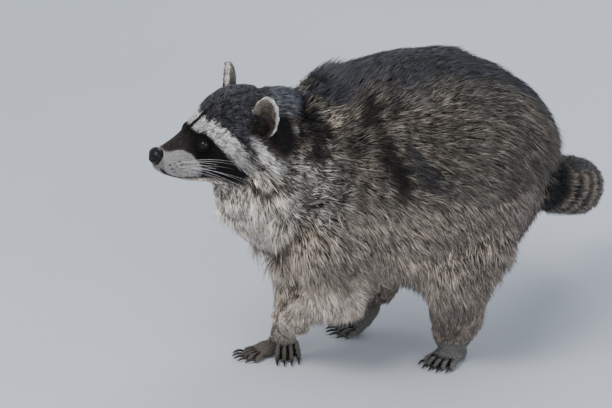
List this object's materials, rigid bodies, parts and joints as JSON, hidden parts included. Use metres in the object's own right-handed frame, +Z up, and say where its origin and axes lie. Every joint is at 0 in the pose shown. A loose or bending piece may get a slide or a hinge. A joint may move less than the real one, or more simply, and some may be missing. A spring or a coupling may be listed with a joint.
{
  "type": "raccoon",
  "caption": "Life-size still raccoon in winter coat, walking on four feet, head turned to its left, back arched and ringed tail held out behind to its right.",
  "frame": {"origin": "on the floor, in the middle of the outline seen from above", "axes": "-Y is the way the animal faces, +X is its left side, +Z is up"},
  "size_m": [0.3398, 0.5776, 0.3395],
  "materials": {
    "face_coat": "short dense fur with a black mask, white brows and a white muzzle",
    "ear_coat": "thin short fur, white along the rim and tan inside",
    "neck_coat": "long grizzled grey fur, cream on the throat",
    "back_coat": "long guard hair, dark grey-brown with pale tips, buff below",
    "leg_coat": "shaggy buff grey fur, shorter towards the foot",
    "foot_coat": "very short tan grey fur over bare black soles",
    "tail_coat": "bushy fur, tan with dark rings and a dark tip",
    "nose_skin": "bare moist black skin with a fine pebbled grain",
    "eye": "wet dark brown eyeball with a black pupil",
    "claw": "smooth dark horn"
  },
  "bodies": {
    "root": {"head": "face_coat", "nose": "nose_skin", "eye_left": "eye", "eye_right": "eye", "ear_left": "ear_coat", "ear_right": "ear_coat", "neck": "neck_coat", "trunk": "back_coat", "tail_base": "tail_coat", "tail_middle": "tail_coat", "tail_tip": "tail_coat", "upperarm_left": "leg_coat", "forearm_left": "leg_coat", "forepaw_left": "foot_coat", "claw_fore_1_left": "claw", "claw_fore_2_left": "claw", "claw_fore_3_left": "claw", "claw_fore_4_left": "claw", "claw_fore_5_left": "claw", "upperarm_right": "leg_coat", "forearm_right": "leg_coat", "forepaw_right": "foot_coat", "claw_fore_1_right": "claw", "claw_fore_2_right": "claw", "claw_fore_3_right": "claw", "claw_fore_4_right": "claw", "claw_fore_5_right": "claw", "thigh_left": "leg_coat", "shank_left": "leg_coat", "hindfoot_left": "foot_coat", "claw_hind_1_left": "claw", "claw_hind_2_left": "claw", "claw_hind_3_left": "claw", "claw_hind_4_left": "claw", "claw_hind_5_left": "claw", "thigh_right": "leg_coat", "shank_right": "leg_coat", "hindfoot_right": "foot_coat", "claw_hind_1_right": "claw", "claw_hind_2_right": "claw", "claw_hind_3_right": "claw", "claw_hind_4_right": "claw", "claw_hind_5_right": "claw"}
  },
  "joints": []
}
